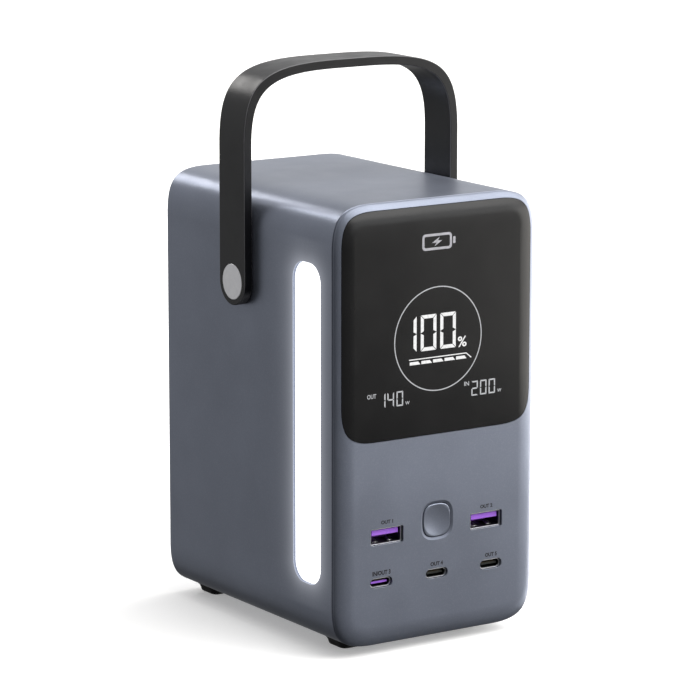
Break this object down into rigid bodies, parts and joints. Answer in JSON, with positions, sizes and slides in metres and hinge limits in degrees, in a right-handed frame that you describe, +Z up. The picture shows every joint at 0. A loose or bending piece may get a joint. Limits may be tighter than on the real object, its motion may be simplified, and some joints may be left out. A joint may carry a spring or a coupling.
{
  "type": "portable power station",
  "caption": "Upright power station with a screen, USB sockets and a power button on its front, a long side lamp and a swinging carry handle.",
  "frame": {"origin": "middle of the base, on the surface the feet stand on", "axes": "+Z up, -Y out of the front with the screen and ports, +X to the right when facing the front"},
  "size_m": [0.0924, 0.1146, 0.205],
  "materials": {
    "body_shell": "satin blue-grey anodised, very fine blast",
    "front_face": "satin blue-grey metallic paint",
    "screen_glass": "dark tinted, polished",
    "frame_plastic": "moulded",
    "screw_steel": "zinc plated",
    "display_black": "moulded",
    "circuit_board": "solder mask",
    "lamp_board_white": "white solder mask",
    "socket_steel": "pressed sheet",
    "tongue_purple": "moulded",
    "tongue_black": "moulded",
    "contact_gold": "plated",
    "button_face": "satin blue-grey, dished",
    "silicone": "moulded",
    "switch_black": "moulded",
    "lamp_diffuser": "frosted, lit",
    "lamp_tray_white": "moulded",
    "led_chip": "phosphor",
    "heatsink_aluminium": "extruded",
    "ferrite": "pressed",
    "capacitor_can": "sleeved",
    "cell_wrap": "shrink sleeve",
    "holder_plastic": "moulded",
    "nickel": "strip",
    "foam": "closed cell",
    "lead_red": "silicone insulation",
    "lead_black": "silicone insulation",
    "foot_rubber": "moulded",
    "handle_black": "satin soft-touch",
    "cap_silver": "satin",
    "bush_plastic": "acetal",
    "washer_plastic": "friction washer",
    "plate_steel": "threaded"
  },
  "bodies": {
    "housing": {"bms_board": "circuit_board", "bms_foam": "foam", "board_screws": "screw_steel", "bus_strips": "nickel", "button_pad": "silicone", "button_switch": "switch_black", "capacitors": "capacitor_can", "cell_1": "cell_wrap", "cell_2": "cell_wrap", "cell_3": "cell_wrap", "cell_4": "cell_wrap", "cell_5": "cell_wrap", "cell_6": "cell_wrap", "cell_7": "cell_wrap", "cell_8": "cell_wrap", "cell_holder_left": "holder_plastic", "cell_holder_right": "holder_plastic", "display_board": "circuit_board", "display_module": "display_black", "foot_front_left": "foot_rubber", "foot_front_right": "foot_rubber", "foot_rear_left": "foot_rubber", "foot_rear_right": "foot_rubber", "foot_screws": "screw_steel", "front_panel": "front_face", "heatsink": "heatsink_aluminium", "inductors": "ferrite", "inner_frame": "frame_plastic", "lamp_board": "lamp_board_white", "lamp_carrier": "lamp_tray_white", "lamp_leds": "led_chip", "lamp_lens": "lamp_diffuser", "lamp_screws": "screw_steel", "lead_negative": "lead_black", "lead_positive": "lead_red", "main_board": "circuit_board", "pivot_plates": "plate_steel", "pivot_screws": "screw_steel", "pivot_washers": "washer_plastic", "port_board": "circuit_board", "rear_panel": "body_shell", "screen_glass": "screen_glass", "sleeve": "body_shell", "tie_screws": "screw_steel", "usb_a_shell_1": "socket_steel", "usb_a_shell_2": "socket_steel", "usb_a_tongue_1": "tongue_purple", "usb_a_tongue_2": "tongue_purple", "usb_c_shell_1": "socket_steel", "usb_c_shell_2": "socket_steel", "usb_c_shell_3": "socket_steel", "usb_c_tongue_1": "tongue_purple", "usb_c_tongue_2": "tongue_black", "usb_c_tongue_3": "tongue_black", "usb_contacts": "contact_gold"},
    "handle": {"handle_band": "handle_black", "pivot_cap_left": "cap_silver", "pivot_cap_right": "cap_silver", "pivot_bushes": "bush_plastic"},
    "button": {"power_button": "button_face"}
  },
  "joints": [
    {"name": "handle_pivot", "type": "hinge", "parent": "housing", "child": "handle", "pos_m": [0, 0.0053, 0.12685], "axis": [1, 0, 0], "range_deg": [-98, 54]},
    {"name": "button_press", "type": "slide", "parent": "housing", "child": "button", "axis": [0, 1, 0], "range_m": [0, 0.0006], "stiffness_N_per_m": 800, "springref_m": -0.001, "deforming": ["button_pad"]}
  ]
}
